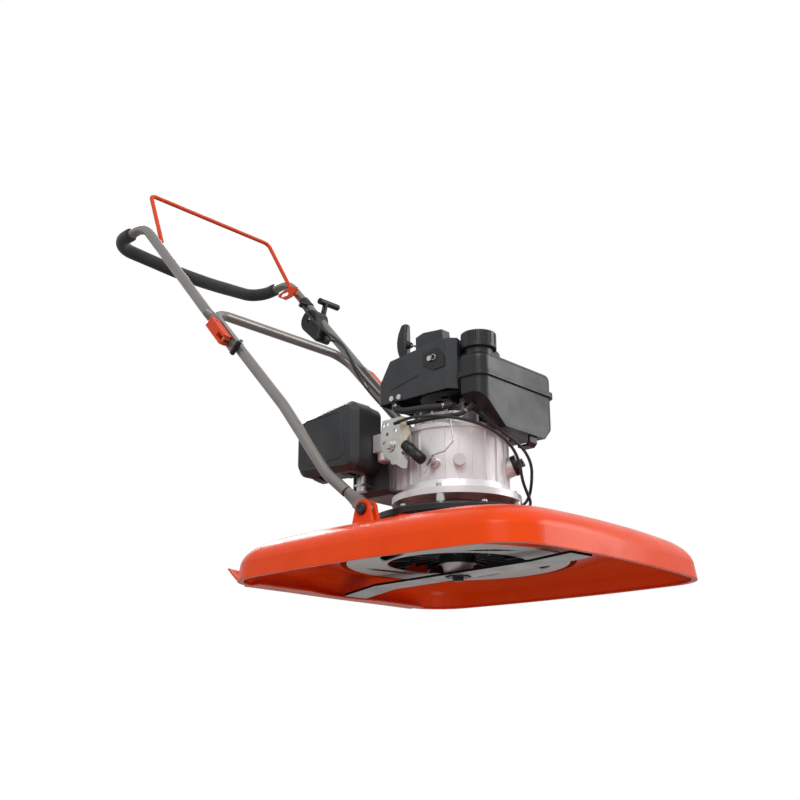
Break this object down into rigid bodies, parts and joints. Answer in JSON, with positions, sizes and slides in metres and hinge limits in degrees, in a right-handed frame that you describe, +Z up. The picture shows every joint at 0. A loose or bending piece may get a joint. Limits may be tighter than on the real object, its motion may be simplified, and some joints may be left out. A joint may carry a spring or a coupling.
{
  "type": "hover mower",
  "caption": "Petrol hover mower: a fan under a domed deck lifts it on air, a blade bar cuts, and a folding two-part handle with bail, throttle and quick-release levers steers it",
  "frame": {"origin": "Under the middle of the bounding box, level with the rim of the deck", "axes": "+Z up, +Y from the nose of the deck to the operator, +X to the left as the operator faces the deck"},
  "size_m": [0.5668, 1.0699, 0.8563],
  "materials": {
    "deck_orange": "glossy moulded plastic",
    "orange_coat": "powder-coated wire and castings",
    "tube_grey": "semi-gloss coated tube",
    "cover_grey": "satin coated pressing",
    "black_plastic": "fine-grained moulding",
    "black_rubber": "matt",
    "foam": "closed-cell foam",
    "pale_plastic": "moulded",
    "cream_plastic": "moulded",
    "rope": "braided cord",
    "filter_paper": "pleated paper",
    "casting": "sand-textured casting",
    "zinc": "zinc-plated",
    "dark_steel": "stoved black",
    "guard_steel": "pressed"
  },
  "bodies": {
    "chassis": {"deck_shell": "deck_orange", "handle_pins": "zinc", "intake_ring": "black_plastic", "ring_screws": "zinc", "engine_sump": "casting", "mounting_bolts": "zinc", "crankcase": "casting", "cylinder": "casting", "cylinder_head": "casting", "head_cover": "dark_steel", "cylinder_shroud": "cover_grey", "spark_plug": "zinc", "plug_cap": "black_rubber", "muffler": "dark_steel", "muffler_guard": "guard_steel", "carburettor": "casting", "intake_pipe": "casting", "air_box_case": "black_plastic", "air_filter": "filter_paper", "air_box_stay": "zinc", "control_plate": "zinc", "control_bolt": "zinc", "governor_arm": "zinc", "governor_rod": "zinc", "breather_tube": "black_rubber", "fuel_hose": "black_rubber", "fan_cover": "cover_grey", "cover_bolts": "zinc", "fuel_tank_lower": "black_plastic", "fuel_tank_upper": "black_plastic", "tank_bracket": "black_plastic", "tank_hook": "zinc"},
    "rotor": {"crankshaft": "zinc", "flywheel": "casting", "impeller": "black_plastic", "impeller_plate": "pale_plastic", "blade_spacer": "pale_plastic", "blade": "dark_steel", "blade_washer": "dark_steel", "blade_bolt": "dark_steel"},
    "starter_reel": {"starter_reel": "black_plastic"},
    "starter_grip": {"starter_grip": "black_plastic", "starter_rope": "rope"},
    "fuel_cap": {"fuel_cap": "black_plastic"},
    "oil_plug": {"oil_plug": "black_plastic"},
    "air_box_cover": {"air_box_cover": "black_plastic"},
    "lower_handle": {"lower_handle": "tube_grey", "throttle_cable": "black_rubber", "brake_cable": "black_rubber"},
    "upper_handle": {"upper_handle": "tube_grey", "fold_bolts": "zinc", "leg_end_caps": "black_plastic", "grip_foam": "foam", "bail_bracket": "zinc", "throttle_housing": "black_plastic"},
    "bail": {"bail": "orange_coat"},
    "throttle_lever": {"throttle_lever": "black_plastic"},
    "throttle_arm": {"throttle_arm": "cream_plastic"},
    "cam_lever_right": {"cam_lever_right": "orange_coat"},
    "cam_lever_left": {"cam_lever_left": "orange_coat"}
  },
  "joints": [
    {"name": "rotor_spin", "type": "hinge", "parent": "chassis", "child": "rotor", "pos_m": [0, -0.21192, 0.1], "axis": [0, 0, 1], "continuous": true},
    {"name": "starter_reel_turn", "type": "hinge", "parent": "chassis", "child": "starter_reel", "pos_m": [0, -0.21192, 0.314], "axis": [0, 0, 1], "range_deg": [-132, 0]},
    {"name": "starter_pull", "type": "slide", "parent": "chassis", "child": "starter_grip", "axis": [0, 0.9397, 0.342], "range_m": [0, 0.11], "stiffness_N_per_m": 30, "springref_m": -0.02, "deforming": ["starter_rope"]},
    {"name": "fuel_cap_turn", "type": "hinge", "parent": "chassis", "child": "fuel_cap", "pos_m": [-0.054, -0.30592, 0.375], "axis": [0, 0, 1], "range_deg": [0, 90]},
    {"name": "oil_plug_pull", "type": "slide", "parent": "chassis", "child": "oil_plug", "axis": [0.4138, -0.8483, 0.3304], "range_m": [0, 0.03]},
    {"name": "air_box_cover_pull", "type": "slide", "parent": "chassis", "child": "air_box_cover", "axis": [-1, 0, 0], "range_m": [0, 0.036]},
    {"name": "handle_pivot", "type": "hinge", "parent": "chassis", "child": "lower_handle", "pos_m": [0, -0.16992, 0.1], "axis": [1, 0, 0], "range_deg": [0, 75], "deforming": ["throttle_cable", "brake_cable"]},
    {"name": "handle_fold", "type": "hinge", "parent": "lower_handle", "child": "upper_handle", "pos_m": [0, 0.14808, 0.45], "axis": [1, 0, 0], "range_deg": [0, 120], "deforming": ["throttle_cable", "brake_cable"]},
    {"name": "bail_pivot", "type": "hinge", "parent": "upper_handle", "child": "bail", "pos_m": [0, 0.38508, 0.71694], "axis": [1, 0, 0], "range_deg": [-38, 0], "stiffness_Nm_per_rad": 0.6, "springref_deg": 51.57},
    {"name": "throttle_turn", "type": "hinge", "parent": "upper_handle", "child": "throttle_lever", "pos_m": [0, 0.32908, 0.638], "axis": [1, 0, 0], "range_deg": [-25, 25]},
    {"name": "throttle_arm_turn", "type": "hinge", "parent": "chassis", "child": "throttle_arm", "pos_m": [-0.097, -0.18792, 0.218], "axis": [1, 0, 0], "range_deg": [-13, 13]},
    {"name": "cam_lever_right_swing", "type": "hinge", "parent": "upper_handle", "child": "cam_lever_right", "pos_m": [-0.2072, 0.14808, 0.45], "axis": [0, -0.7478, 0.6639], "range_deg": [0, 110]},
    {"name": "cam_lever_left_swing", "type": "hinge", "parent": "upper_handle", "child": "cam_lever_left", "pos_m": [0.2072, 0.14808, 0.45], "axis": [0, 0.7478, -0.6639], "range_deg": [0, 110]}
  ],
  "couplings": [
    {"joint": "starter_reel_turn", "follows": "starter_pull", "rad_per_m": -20.833},
    {"joint": "throttle_arm_turn", "follows": "throttle_turn", "ratio": 0.5}
  ]
}
